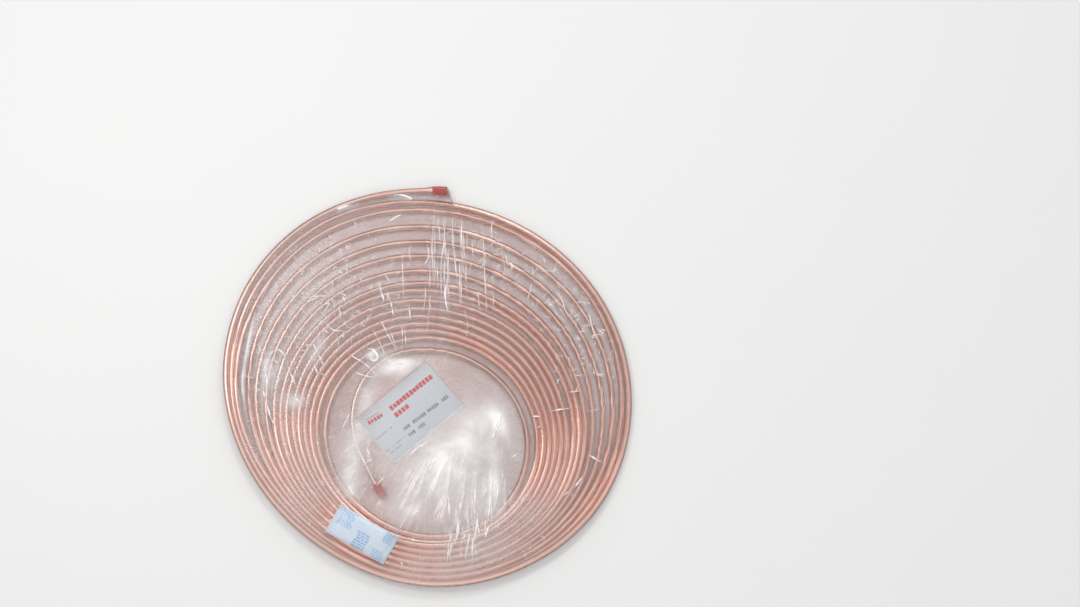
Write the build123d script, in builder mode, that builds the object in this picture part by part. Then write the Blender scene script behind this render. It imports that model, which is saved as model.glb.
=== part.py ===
from build123d import *
import math
import os

# A flat pack coil of soft copper tube, shrink-wrapped in clear film, lying on the floor.
# Millimetres, +Z up, origin at the middle of the underside.

# ---------------------------------------------------------------- driving sizes
TUBE_OD = 6.35            # quarter-inch tube
TUBE_WALL = 0.60
TUBE_LENGTH = 15000.0     # nominal length of the coil
TUBE_GAP = 0.15           # clearance kept between turns that nest

FILM = 0.40               # wrap and its overlaps, drawn thick enough to be a solid
FLOOR_Z = FILM            # the lowest turns lie on the bottom film

CAP_OD = 9.6              # push-on plastic cap
CAP_LENGTH = 16.0
CAP_END = 2.2             # closed end of the cap
CAP_GRIP = 12.5           # tube length inside the cap

CARD_W, CARD_H, CARD_T, CARD_R = 98.0, 65.0, 0.40, 4.0
CARD_AT, CARD_TURN = (-17.0, -37.3), 40.7
POUCH_W, POUCH_H, POUCH_T = 71.0, 33.0, 4.4
POUCH_CRIMP, POUCH_CRIMP_T = 5.0, 0.8
POUCH_AT, POUCH_TURN = (-62.7, -169.0), -29.2

# ---------------------------------------------------------------- the winding
# Centre of the polar stations, from the origin
CX, CY = 2.38, -29.59
SPREAD = 1.0033           # opens every turn a little, so that the turns add up to the nominal length
STEP = 30                 # degrees between stations, clockwise from +Y as seen from above
# Radius of every turn, innermost first, at each station
TURNS = {
    0: [61.3, 74.5, 82.5, 90.2, 98.4, 107.3, 116.5, 127.7, 135.8, 149.8, 167.2, 183.6, 201.6, 221.5, 230.8],
    30: [63.6, 76.8, 84.0, 91.3, 99.7, 108.0, 116.9, 127.3, 135.2, 147.8, 163.9, 180.1, 195.5, 214.3, 222.3],
    60: [74.6, 88.3, 95.1, 102.9, 110.9, 118.9, 126.7, 136.6, 144.3, 153.9, 167.5, 181.2, 195.5, 210.4, 217.7],
    90: [95.3, 107.9, 114.9, 121.7, 128.9, 136.1, 143.1, 151.7, 158.3, 165.4, 174.6, 185.9, 196.8, 206.5, 213.9],
    120: [120.8, 131.6, 137.6, 143.8, 149.6, 155.5, 161.2, 166.9, 171.8, 176.8, 182.6, 190.0, 197.0, 203.0, 208.6],
    150: [139.2, 145.9, 149.9, 153.9, 157.9, 161.9, 165.9, 169.9, 173.8, 177.7, 181.6, 185.5, 189.5, 193.5, 197.5],
    180: [139.8, 146.4, 149.8, 153.0, 156.2, 159.4, 162.6, 165.8, 169.0, 172.2, 175.4, 178.6, 181.8, 185.0, 188.2],
    210: [129.9, 136.6, 140.3, 143.8, 147.3, 150.8, 154.3, 157.8, 161.3, 164.8, 168.4, 171.9, 175.5, 179.2, 182.9],
    240: [118.8, 126.6, 132.0, 137.1, 142.0, 146.9, 151.7, 156.5, 161.3, 166.2, 171.2, 176.1, 181.3, 186.2, 191.2],
    270: [105.1, 115.0, 122.0, 129.4, 136.2, 142.9, 150.3, 156.8, 163.8, 172.5, 182.9, 190.4, 202.6, 207.4, 212.0],
    300: [90.8, 100.8, 108.6, 116.9, 125.3, 133.8, 143.5, 151.0, 162.8, 176.3, 189.9, 203.9, 220.2, 228.2, 236.2],
    330: [79.9, 89.2, 96.8, 105.5, 114.4, 124.1, 134.9, 143.2, 157.7, 174.3, 190.3, 208.1, 228.5, 238.4, 247.9],
}
# Distance kept between the middles of turns that cross over each other, wider where they climb
NEST = {90: 6.9, 120: 7.2, 150: 6.6, 180: TUBE_OD + TUBE_GAP, 210: 6.55, 240: 7.0, 270: 6.9}
# The inner end leaves the winding and turns into the hole
TAIL = [(-154.3, 106.2), (-138.4, 92.6), (-117.2, 85.3), (-90, 79.0), (-60, 72.9), (-30, 66.4)]
# The outer end stops just past twelve o'clock
OUTER_END = [(5385, 246.6), (5395, 244.8), (5402.9, 244.0)]


def lift(angle, turn):
    """Height of a turn above the bottom layer: every second turn rides up where the pitch is tight."""
    if turn < 2 or turn % 2 or angle not in NEST:
        return 0.0
    row = TURNS[angle]
    pitch = row[turn] - row[turn - 1]
    if turn + 1 < len(row):
        pitch = min(pitch, row[turn + 1] - row[turn])
    return math.sqrt(max(0.0, NEST[angle] ** 2 - pitch**2))


def place(angle, radius, height):
    a = math.radians(angle)
    return Vector(CX + SPREAD * radius * math.sin(a), CY + SPREAD * radius * math.cos(a), height)


LOW = FLOOR_Z + TUBE_OD / 2 + 0.02
CAP_Z = FLOOR_Z + CAP_OD / 2 + 0.05      # the thicker caps lift both ends of the tube

stations = [(a, r, LOW) for a, r in TAIL]
for turn in range(15):
    for angle in range(0, 360, STEP):
        stations.append((turn * 360 + angle, TURNS[angle][turn], LOW + lift(angle, turn)))
stations += [(a, r, LOW) for a, r in OUTER_END]
for i in (0, 1, -2, -1):
    stations[i] = (stations[i][0], stations[i][1], CAP_Z)

# Corners stand outside the curve, so that the arcs between them pass through the stations
corners = [place(*stations[0])]
for (a0, _, _), (a, r, z), (a1, _, _) in zip(stations, stations[1:], stations[2:]):
    corners.append(place(a, r * 0.9966 / math.cos(math.radians((a1 - a0) / 4)), z))
corners.append(place(*stations[-1]))


def rounded(points, share=0.45, closed=False):
    """Straight runs joined by tangent arcs: (start, middle, end, radius) for each corner."""
    ring = points[-1:] + points + points[:1] if closed else points
    arcs = []
    for p, q, s in zip(ring, ring[1:], ring[2:]):
        u, v = (p - q), (s - q)
        back = share * min(u.length, v.length)
        u, v = u.normalized(), v.normalized()
        half = math.radians(u.get_angle(v)) / 2
        radius = back * math.tan(half)
        bis = (u + v).normalized()
        mid = q + bis * (back / math.cos(half) - radius)
        arcs.append((q + u * back, mid, q + v * back, radius))
    return arcs


arcs = rounded(corners)

# ---------------------------------------------------------------- copper tube
with BuildPart() as copper_tube:
    with BuildLine() as route:
        here = corners[0]
        for start, mid, end, radius in arcs:
            Line(here, start)
            ThreePointArc(start, mid, end)
            here = end
        Line(here, corners[-1])
    with BuildSketch(Plane(origin=route.line @ 0, z_dir=route.line % 0)):
        Circle(TUBE_OD / 2)
        Circle(TUBE_OD / 2 - TUBE_WALL, mode=Mode.SUBTRACT)
    sweep()
copper_tube.part.label = "copper_tube"
route_length = sum(e.length for e in route.edges())
outer_tip, outer_way = corners[-1], (corners[-1] - arcs[-1][2]).normalized()
inner_tip, inner_way = corners[0], (corners[0] - arcs[0][0]).normalized()

# ---------------------------------------------------------------- end caps
# Each cap is a cup pushed over the end, with a bead around its mouth
with BuildPart() as end_cap_outer:
    with BuildSketch(Plane(origin=outer_tip - outer_way * CAP_GRIP, z_dir=outer_way)):
        Circle(CAP_OD / 2)
    extrude(amount=CAP_LENGTH)
    fillet(end_cap_outer.edges().sort_by(Axis(outer_tip, outer_way))[-1], radius=1.4)
    with BuildSketch(Plane(origin=outer_tip - outer_way * CAP_GRIP, z_dir=outer_way)):
        Circle(TUBE_OD / 2 + 0.06)
    extrude(amount=CAP_LENGTH - CAP_END, mode=Mode.SUBTRACT)
end_cap_outer.part.label = "end_cap_outer"

with BuildPart() as end_cap_inner:
    with BuildSketch(Plane(origin=inner_tip - inner_way * CAP_GRIP, z_dir=inner_way)):
        Circle(CAP_OD / 2)
    extrude(amount=CAP_LENGTH)
    fillet(end_cap_inner.edges().sort_by(Axis(inner_tip, inner_way))[-1], radius=1.4)
    with BuildSketch(Plane(origin=inner_tip - inner_way * CAP_GRIP, z_dir=inner_way)):
        Circle(TUBE_OD / 2 + 0.06)
    extrude(amount=CAP_LENGTH - CAP_END, mode=Mode.SUBTRACT)
end_cap_inner.part.label = "end_cap_inner"

# ---------------------------------------------------------------- label card, flat on the bottom film in the hole
with BuildPart() as label_card:
    with BuildSketch(Plane(origin=(*CARD_AT, FILM + 0.05), x_dir=Vector(1, 0, 0).rotate(Axis.Z, CARD_TURN), z_dir=(0, 0, 1))):
        RectangleRounded(CARD_W, CARD_H, CARD_R)
    extrude(amount=CARD_T)
label_card.part.label = "label_card"

# ---------------------------------------------------------------- desiccant pouch, a crimped pillow on the stacked turns
POUCH_Z = LOW + lift(180, 8) + TUBE_OD / 2 + 0.3
with BuildPart() as desiccant_pouch:
    flat = Plane(origin=(*POUCH_AT, POUCH_Z), x_dir=Vector(1, 0, 0).rotate(Axis.Z, POUCH_TURN), z_dir=(0, 0, 1))
    with BuildSketch(flat):
        RectangleRounded(POUCH_W - 2 * POUCH_CRIMP, POUCH_H - 1.0, 4.0)
    extrude(amount=POUCH_T)
    fillet(desiccant_pouch.edges().group_by(Axis.Z)[-1] + desiccant_pouch.edges().group_by(Axis.Z)[0], radius=POUCH_T * 0.42)
    with BuildSketch(flat.offset(POUCH_T / 2 - POUCH_CRIMP_T / 2)):
        Rectangle(POUCH_W, POUCH_H)
    extrude(amount=POUCH_CRIMP_T)
desiccant_pouch.part.label = "desiccant_pouch"

# ---------------------------------------------------------------- film wrap
# The sealed bag follows the outermost turn. Its top slopes up over the stacked side and rises over the pouch.
RIM = TUBE_OD / 2 + 1.4
rim_stations = [(4, 249.0), (17, 243.0), (32, 226.0), (60, 219.0)]
rim_stations += [(a, TURNS[a][14] + 0.5) for a in range(90, 330, STEP)] + [(330, 249.0), (350, 248.4)]
FILM_TOP = 10.5           # height over the outer cap
SLOPE = (13.5 - FILM_TOP) / (217 + 215)


def wrap(inset, top):
    ring = []
    for (a0, _), (a, r), (a1, _) in zip(rim_stations[-1:] + rim_stations, rim_stations, rim_stations[1:] + rim_stations[:1]):
        span = (a1 - a0) % 360
        ring.append(place(a, (r + RIM - inset) / math.cos(math.radians(span / 4)), 0))
    bends = rounded(ring, 0.46, closed=True)
    with BuildPart() as body:
        with BuildSketch(Plane.XY.offset(inset)):
            with BuildLine():
                for i, (start, mid, end, radius) in enumerate(bends):
                    ThreePointArc(start, mid, end)
                    Line(end, bends[(i + 1) % len(bends)][0])
            make_face()
        extrude(amount=20)
        split(bisect_by=Plane(origin=(0, 217, FILM_TOP + top), z_dir=(0, SLOPE, 1)), keep=Keep.BOTTOM)
        fillet(body.edges().group_by(Axis.Z)[0], radius=2.6 - inset)
        with BuildSketch(flat.offset(-4.0)):
            Rectangle(POUCH_W + 16 + 2 * top, POUCH_H + 16 + 2 * top)
        with BuildSketch(flat.offset(POUCH_T + 0.4 + top)):
            Rectangle(POUCH_W + 2 + 2 * top, POUCH_H + 2 + 2 * top)
        loft()
    return body.part


with BuildPart() as film_wrap:
    add(wrap(0, FILM))
    add(wrap(FILM, 0), mode=Mode.SUBTRACT)
film_wrap.part.label = "film_wrap"

# ---------------------------------------------------------------- write
pieces = [copper_tube, end_cap_outer, end_cap_inner, label_card, desiccant_pouch, film_wrap]
os.makedirs("parts", exist_ok=True)
for piece in pieces:
    export_step(piece.part, "parts/" + piece.part.label + ".step")

section_area = math.pi * ((TUBE_OD / 2) ** 2 - (TUBE_OD / 2 - TUBE_WALL) ** 2)
print("route length", round(route_length, 1), "of", TUBE_LENGTH, "smallest arc", round(min(a[3] for a in arcs), 1))
print("tube volume", round(copper_tube.part.volume, 1), "section x length", round(section_area * route_length, 1))
for piece in pieces:
    box = piece.part.bounding_box()
    print(piece.part.label, "valid", piece.part.is_valid, "solids", len(piece.part.solids()), "volume", round(piece.part.volume, 1), "box", box.min, box.max)
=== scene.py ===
import bpy
import math
import numpy as np
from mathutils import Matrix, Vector


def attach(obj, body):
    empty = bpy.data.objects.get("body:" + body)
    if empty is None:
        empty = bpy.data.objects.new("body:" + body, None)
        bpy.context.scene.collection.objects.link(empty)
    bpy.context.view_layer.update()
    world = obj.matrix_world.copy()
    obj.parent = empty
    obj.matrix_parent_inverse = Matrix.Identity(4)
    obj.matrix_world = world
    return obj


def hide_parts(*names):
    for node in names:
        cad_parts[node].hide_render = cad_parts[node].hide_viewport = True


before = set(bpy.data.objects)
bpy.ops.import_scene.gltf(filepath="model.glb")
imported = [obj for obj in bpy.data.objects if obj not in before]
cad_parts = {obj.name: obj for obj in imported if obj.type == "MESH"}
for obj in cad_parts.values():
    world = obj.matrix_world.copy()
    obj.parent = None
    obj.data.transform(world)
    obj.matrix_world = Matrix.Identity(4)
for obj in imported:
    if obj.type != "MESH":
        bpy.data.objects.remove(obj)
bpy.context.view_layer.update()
MM = 0.001

# ------------------------------------------------------------------ camera
# All shape work below is in millimetres, in the row frame.
TARGET = np.array([122.16, 85.62, 0.0])      # what the middle of the picture looks at
DISTANCE, ELEVATION, FOCAL = 1692.4, math.radians(73.0), 1546.0   # FOCAL in pixels of a 1080-wide picture
FORWARD = np.array([0.0, math.cos(ELEVATION), -math.sin(ELEVATION)])
RIGHT = np.array([1.0, 0.0, 0.0])
UP = np.cross(RIGHT, FORWARD)
EYE = TARGET - FORWARD * DISTANCE

cam_data = bpy.data.cameras.new("camera")
cam = bpy.data.objects.new("camera", cam_data)
bpy.context.scene.collection.objects.link(cam)
bpy.context.scene.camera = cam
cam_data.sensor_width = 36.0
cam_data.lens = FOCAL / 1080.0 * 36.0
cam_data.clip_start, cam_data.clip_end = 0.05, 50.0
cam.location = Vector(EYE * MM)
cam.rotation_mode = "QUATERNION"
cam.rotation_quaternion = Vector(FORWARD).to_track_quat("-Z", "Y")


def on_level(px, py, z):
    """The point at height z that shows at a place in the 1080 x 607 picture."""
    d = FORWARD + RIGHT * ((px - 540.0) / FOCAL) + UP * ((303.5 - py) / FOCAL)
    return EYE + d * ((z - EYE[2]) / d[2])


# ------------------------------------------------------------------ mesh and node helpers
def make_mesh(name, verts, faces, uv=None, attrs=None, smooth=True, mats=(), face_mat=None):
    me = bpy.data.meshes.new(name)
    verts = np.asarray(verts, float) * MM
    faces = np.asarray(faces, np.int64)
    me.from_pydata(verts.tolist(), [], faces.tolist())
    if smooth:
        me.polygons.foreach_set("use_smooth", np.ones(len(me.polygons), bool))
    if uv is not None:
        layer = me.uv_layers.new(name="UVMap")
        loops = np.zeros(len(me.loops), np.int32)
        me.loops.foreach_get("vertex_index", loops)
        layer.data.foreach_set("uv", np.asarray(uv, np.float32)[loops].ravel())
    for key, value in (attrs or {}).items():
        value = np.asarray(value, np.float32)
        if value.ndim == 1:
            a = me.attributes.new(key, "FLOAT", "POINT")
            a.data.foreach_set("value", value)
        else:
            a = me.attributes.new(key, "FLOAT_VECTOR", "POINT")
            a.data.foreach_set("vector", value.ravel())
    for m in mats:
        me.materials.append(m)
    if face_mat is not None:
        me.polygons.foreach_set("material_index", np.asarray(face_mat, np.int32))
    me.update()
    ob = bpy.data.objects.new(name, me)
    bpy.context.scene.collection.objects.link(ob)
    return ob


def grid_faces(rows, cols, wrap_cols=False, flip=False, first=0):
    """Quads of a rows x cols grid of vertices, row-major."""
    i = np.arange(rows - 1)[:, None]
    j = np.arange(cols if wrap_cols else cols - 1)[None, :]
    k = (j + 1) % cols
    a, b, c, d = i * cols + j, i * cols + k, (i + 1) * cols + k, (i + 1) * cols + j
    q = np.stack([a, b, c, d] if not flip else [a, d, c, b], -1).reshape(-1, 4)
    return q + first


class Nodes:
    """A short way to write a node material."""

    def __init__(self, name):
        self.mat = bpy.data.materials.new(name)
        self.mat.use_nodes = True
        self.nt = self.mat.node_tree
        self.nt.nodes.clear()
        self.out = self.nt.nodes.new("ShaderNodeOutputMaterial")

    def node(self, kind, **values):
        n = self.nt.nodes.new("ShaderNode" + kind)
        for k, v in values.items():
            if k.startswith("_"):
                setattr(n, k[1:], v)
        for k, v in values.items():
            if not k.startswith("_"):
                self.plug(n.inputs[k.replace("__", " ")], v)
        return n

    def plug(self, socket, value):
        if isinstance(value, bpy.types.NodeSocket):
            self.nt.links.new(value, socket)
        else:
            socket.default_value = value

    def math(self, op, a, b=None, c=None, clamp=False):
        n = self.nt.nodes.new("ShaderNodeMath")
        n.operation, n.use_clamp = op, clamp
        for s, v in zip(n.inputs, (a, b, c)):
            if v is not None:
                self.plug(s, v)
        return n.outputs[0]

    def ramp(self, fac, lo, hi, a=0.0, b=1.0):
        n = self.nt.nodes.new("ShaderNodeMapRange")
        n.interpolation_type = "SMOOTHSTEP"
        for s, v in zip(("Value", "From Min", "From Max", "To Min", "To Max"), (fac, lo, hi, a, b)):
            self.plug(n.inputs[s], v)
        return n.outputs[0]

    def mix(self, fac, a, b):
        n = self.nt.nodes.new("ShaderNodeMix")
        n.data_type = "RGBA"
        self.plug(n.inputs[0], fac)
        for s, v in ((n.inputs[6], a), (n.inputs[7], b)):
            self.plug(s, (*v, 1.0) if isinstance(v, tuple) and len(v) == 3 else v)
        return n.outputs[2]

    def attr(self, name, vector=False):
        n = self.nt.nodes.new("ShaderNodeAttribute")
        n.attribute_name = name
        return n.outputs["Vector" if vector else "Fac"]

    def noise(self, vector, scale, detail=2.0, rough=0.5, distort=0.0, out="Fac"):
        n = self.node("TexNoise", Scale=scale, Detail=detail, Roughness=rough, Distortion=distort)
        self.plug(n.inputs["Vector"], vector)
        return n.outputs[out]

    def mapping(self, vector, scale, rotation=(0, 0, 0)):
        n = self.node("Mapping", Scale=scale, Rotation=rotation)
        self.plug(n.inputs["Vector"], vector)
        return n.outputs[0]

    def bump(self, height, distance, strength=1.0, normal=None):
        n = self.node("Bump", Strength=strength, Distance=distance)
        self.plug(n.inputs["Height"], height)
        if normal is not None:
            self.plug(n.inputs["Normal"], normal)
        return n.outputs[0]

    def done(self, shader):
        self.nt.links.new(shader, self.out.inputs["Surface"])
        return self.mat


# ------------------------------------------------------------------ materials
def copper_material():
    """Bright soft-drawn copper: satin, with faint draw lines along the tube and slightly darker handling marks."""
    m = Nodes("drawn_copper")
    uv = m.node("UVMap", _uv_map="UVMap").outputs[0]      # U along the tube in cm, V round it
    obj = m.node("TexCoord").outputs["Object"]
    long_streak = m.noise(m.mapping(uv, (0.12, 14.0, 1.0)), 1.0, 3.0, 0.55)
    fine_streak = m.noise(m.mapping(uv, (0.5, 60.0, 1.0)), 1.0, 2.0, 0.5)
    patch = m.noise(obj, 11.0, 3.0, 0.55)
    handling = m.noise(m.mapping(uv, (0.45, 2.0, 1.0)), 1.0, 3.0, 0.55)
    colour = m.mix(m.ramp(patch, 0.35, 0.68), (0.955, 0.615, 0.505), (0.935, 0.570, 0.455))
    colour = m.mix(m.ramp(long_streak, 0.45, 0.75, 0.0, 0.30), colour, (0.960, 0.650, 0.560))
    colour = m.mix(m.ramp(handling, 0.58, 0.80, 0.0, 0.22), colour, (0.84, 0.460, 0.360))
    rough = m.math("ADD", m.ramp(long_streak, 0.3, 0.7, 0.28, 0.36), m.ramp(handling, 0.5, 0.8, 0.0, 0.06))
    normal = m.bump(m.math("ADD", m.math("MULTIPLY", fine_streak, 0.5), handling), 0.00003, 0.12)
    p = m.node("BsdfPrincipled", Metallic=1.0)
    m.plug(p.inputs["Base Color"], colour)
    m.plug(p.inputs["Roughness"], rough)
    m.plug(p.inputs["Normal"], normal)
    return m.done(p.outputs[0])


def cap_material():
    m = Nodes("red_soft_plastic")
    obj = m.node("TexCoord").outputs["Object"]
    cloud = m.noise(obj, 260.0, 3.0, 0.55)
    grain = m.noise(obj, 2600.0, 2.0, 0.5)
    colour = m.mix(m.ramp(cloud, 0.3, 0.7), (0.66, 0.045, 0.035), (0.78, 0.085, 0.062))
    p = m.node("BsdfPrincipled")
    p.inputs["IOR"].default_value = 1.49
    p.inputs["Subsurface Weight"].default_value = 0.12
    p.inputs["Subsurface Radius"].default_value = (1.0, 0.25, 0.2)
    p.inputs["Subsurface Scale"].default_value = 0.002
    m.plug(p.inputs["Base Color"], colour)
    m.plug(p.inputs["Roughness"], m.ramp(cloud, 0.2, 0.8, 0.30, 0.44))
    m.plug(p.inputs["Normal"], m.bump(grain, 0.00006, 0.4))
    return m.done(p.outputs[0])


def card_material():
    m = Nodes("printed_card")
    obj = m.node("TexCoord").outputs["Object"]
    fibre = m.noise(obj, 900.0, 4.0, 0.6)
    cloud = m.noise(obj, 30.0, 2.0, 0.5)
    worn = m.noise(obj, 1400.0, 2.0, 0.6)
    base = m.mix(m.ramp(cloud, 0.3, 0.7), (0.878, 0.950, 0.998), (0.898, 0.962, 0.999))
    base = m.mix(m.ramp(fibre, 0.35, 0.75, 0.0, 0.25), base, (0.85, 0.91, 0.97))
    red = m.math("MULTIPLY", m.attr("ink_red"), m.ramp(worn, 0.25, 0.45, 0.80, 1.0))
    grey = m.math("MULTIPLY", m.attr("ink_grey"), m.ramp(worn, 0.25, 0.45, 0.62, 0.88))
    colour = m.mix(red, base, (0.80, 0.055, 0.055))
    colour = m.mix(grey, colour, (0.200, 0.230, 0.265))
    p = m.node("BsdfPrincipled")
    p.inputs["IOR"].default_value = 1.47
    m.plug(p.inputs["Base Color"], colour)
    m.plug(p.inputs["Roughness"], m.ramp(fibre, 0.3, 0.7, 0.42, 0.56))
    m.plug(p.inputs["Normal"], m.bump(fibre, 0.00003, 0.35))
    return m.done(p.outputs[0])


def pouch_material():
    m = Nodes("pouch_paper")
    obj = m.node("TexCoord").outputs["Object"]
    fibre = m.noise(m.mapping(obj, (1.0, 1.0, 1.0), (0, 0, 0.7)), 420.0, 4.0, 0.65, 1.2)
    cloud = m.noise(obj, 60.0, 2.0, 0.5)
    worn = m.noise(obj, 900.0, 2.0, 0.6)
    base = m.mix(m.ramp(cloud, 0.3, 0.7), (0.700, 0.800, 0.900), (0.760, 0.850, 0.935))
    base = m.mix(m.ramp(fibre, 0.45, 0.72, 0.0, 0.35), base, (0.86, 0.92, 0.96))
    ink = m.math("MULTIPLY", m.attr("ink"), m.ramp(worn, 0.3, 0.5, 0.60, 0.92))
    colour = m.mix(ink, base, (0.230, 0.470, 0.790))
    p = m.node("BsdfPrincipled")
    p.inputs["IOR"].default_value = 1.46
    p.inputs["Sheen Weight"].default_value = 0.08
    m.plug(p.inputs["Base Color"], colour)
    m.plug(p.inputs["Roughness"], m.ramp(fibre, 0.3, 0.7, 0.48, 0.66))
    m.plug(p.inputs["Normal"], m.bump(fibre, 0.00008, 0.5))
    return m.done(p.outputs[0])


def film_material(name, fold):
    """Clear stretched film. Most light goes straight through. The rest is gloss, and a milky part where it is stretched
    or doubled. The milky part also carries painted glints, and the film is tinted pink as painted reflected copper
    light.
    """
    m = Nodes(name)
    obj = m.node("TexCoord").outputs["Object"]
    pol = m.attr("polar", vector=True)
    slack = m.attr("slack")
    radial = m.noise(pol, 1.0, 3.0, 0.62, 0.3)               # long along the radius, thin across it
    radial2 = m.noise(m.mapping(pol, (2.1, 2.1, 1.9)), 1.0, 2.0, 0.6, 0.6)
    cells = m.noise(obj, 130.0, 3.0, 0.62, 1.6)
    # the film's tone: its milkiness, with painted glints in it
    haze = m.attr("haze")
    streak = m.ramp(radial, 0.54, 0.74)
    crackle = m.math("MULTIPLY", m.ramp(radial2, 0.50, 0.66), m.math("MULTIPLY", slack, m.ramp(cells, 0.52, 0.72)))
    soft = m.ramp(m.noise(obj, 34.0, 3.0, 0.55, 0.6), 0.36, 0.70)
    spread = m.math("ADD", m.math("MULTIPLY", streak, m.math("MULTIPLY", slack, 0.60)), m.math("MULTIPLY", soft, 0.35))
    milk_glint_amount = m.math("ADD", haze, m.math("MULTIPLY", spread, haze))
    milk_glint_amount = m.math("ADD", milk_glint_amount, m.math("MULTIPLY", crackle, 0.42))
    height = m.math("ADD", m.math("MULTIPLY", radial, 0.9), m.math("ADD", m.math("MULTIPLY", radial2, 0.5), m.math("MULTIPLY", cells, 0.8)))
    height = m.math("MULTIPLY", height, m.math("ADD", m.math("MULTIPLY", slack, 0.90), 0.10))
    normal = m.bump(height, 0.0016 if not fold else 0.0006, 0.6)
    fres = m.node("Fresnel", IOR=1.50)
    m.plug(fres.inputs["Normal"], normal)
    gloss = m.math("MULTIPLY", fres.outputs[0], m.math("SUBTRACT", 1.45, m.attr("calm")), clamp=True)
    share = m.math("ADD", milk_glint_amount, gloss, clamp=True)
    mirror = m.math("DIVIDE", gloss, m.math("ADD", milk_glint_amount, gloss), clamp=True)
    p = m.node("BsdfPrincipled")
    # painted reflected copper light: the milky part is tinted slightly pink
    p.inputs["Base Color"].default_value = (0.980, 0.935, 0.940, 1.0)
    p.inputs["IOR"].default_value = 1.50
    m.plug(p.inputs["Metallic"], mirror)
    m.plug(p.inputs["Roughness"], m.ramp(m.math("ADD", mirror, cells), 0.5, 1.5, 0.30, 0.09))
    m.plug(p.inputs["Normal"], normal)
    clear = m.node("BsdfTransparent")
    # painted reflected copper light: light through the clear part is tinted pink, most on the bottom sheet
    m.plug(clear.inputs["Color"], m.mix(m.attr("blush"), (0.986, 0.990, 0.998), (0.982, 0.785, 0.748)))
    mix = m.node("MixShader")
    m.plug(mix.inputs[0], share)
    m.nt.links.new(clear.outputs[0], mix.inputs[1])
    m.nt.links.new(p.outputs[0], mix.inputs[2])
    m.mat.surface_render_method = "BLENDED"
    return m.done(mix.outputs[0])


# ------------------------------------------------------------------ the winding
TUBE_OD, TUBE_WALL = 6.35, 0.60
R_TUBE = TUBE_OD / 2
FILM = 0.40
LOW = FILM + R_TUBE + 0.02
CAP_R, CAP_LENGTH, CAP_GRIP = 4.8, 16.0, 12.5
CAP_Z = FILM + CAP_R + 0.05
CX, CY, SPREAD = 2.38, -29.59, 1.0033
# Radius of every turn, innermost first, at stations 30 degrees apart, clockwise from +Y
TURNS = {
    0: [61.3, 74.5, 82.5, 90.2, 98.4, 107.3, 116.5, 127.7, 135.8, 149.8, 167.2, 183.6, 201.6, 221.5, 230.8],
    30: [63.6, 76.8, 84.0, 91.3, 99.7, 108.0, 116.9, 127.3, 135.2, 147.8, 163.9, 180.1, 195.5, 214.3, 222.3],
    60: [74.6, 88.3, 95.1, 102.9, 110.9, 118.9, 126.7, 136.6, 144.3, 153.9, 167.5, 181.2, 195.5, 210.4, 217.7],
    90: [95.3, 107.9, 114.9, 121.7, 128.9, 136.1, 143.1, 151.7, 158.3, 165.4, 174.6, 185.9, 196.8, 206.5, 213.9],
    120: [120.8, 131.6, 137.6, 143.8, 149.6, 155.5, 161.2, 166.9, 171.8, 176.8, 182.6, 190.0, 197.0, 203.0, 208.6],
    150: [139.2, 145.9, 149.9, 153.9, 157.9, 161.9, 165.9, 169.9, 173.8, 177.7, 181.6, 185.5, 189.5, 193.5, 197.5],
    180: [139.8, 146.4, 149.8, 153.0, 156.2, 159.4, 162.6, 165.8, 169.0, 172.2, 175.4, 178.6, 181.8, 185.0, 188.2],
    210: [129.9, 136.6, 140.3, 143.8, 147.3, 150.8, 154.3, 157.8, 161.3, 164.8, 168.4, 171.9, 175.5, 179.2, 182.9],
    240: [118.8, 126.6, 132.0, 137.1, 142.0, 146.9, 151.7, 156.5, 161.3, 166.2, 171.2, 176.1, 181.3, 186.2, 191.2],
    270: [105.1, 115.0, 122.0, 129.4, 136.2, 142.9, 150.3, 156.8, 163.8, 172.5, 182.9, 190.4, 202.6, 207.4, 212.0],
    300: [90.8, 100.8, 108.6, 116.9, 125.3, 133.8, 143.5, 151.0, 162.8, 176.3, 189.9, 203.9, 220.2, 228.2, 236.2],
    330: [79.9, 89.2, 96.8, 105.5, 114.4, 124.1, 134.9, 143.2, 157.7, 174.3, 190.3, 208.1, 228.5, 238.4, 247.9],
}
TAIL = [(-154.3, 106.2), (-138.4, 92.6), (-117.2, 85.3), (-90, 79.0), (-60, 72.9), (-30, 66.4)]
OUTER_END = [(5385, 246.6), (5395, 244.8), (5402.9, 244.0)]
FIRST, LAST = TAIL[0][0], OUTER_END[-1][0]


def spline(x, y, q):
    """Natural cubic through (x, y), read at q."""
    x, y, q = (np.asarray(v, float) for v in (x, y, q))
    n, h = len(x), np.diff(x)
    a, b = np.zeros((n, n)), np.zeros(n)
    a[0, 0] = a[-1, -1] = 1.0
    for i in range(1, n - 1):
        a[i, i - 1 : i + 2] = h[i - 1], 2 * (h[i - 1] + h[i]), h[i]
        b[i] = 6 * ((y[i + 1] - y[i]) / h[i] - (y[i] - y[i - 1]) / h[i - 1])
    s = np.linalg.solve(a, b)
    k = np.clip(np.searchsorted(x, q) - 1, 0, n - 2)
    t, w = q - x[k], h[k]
    return (s[k] * (w - t) ** 3 + s[k + 1] * t**3) / (6 * w) + (y[k] / w - s[k] * w / 6) * (w - t) + (y[k + 1] / w - s[k + 1] * w / 6) * t


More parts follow.
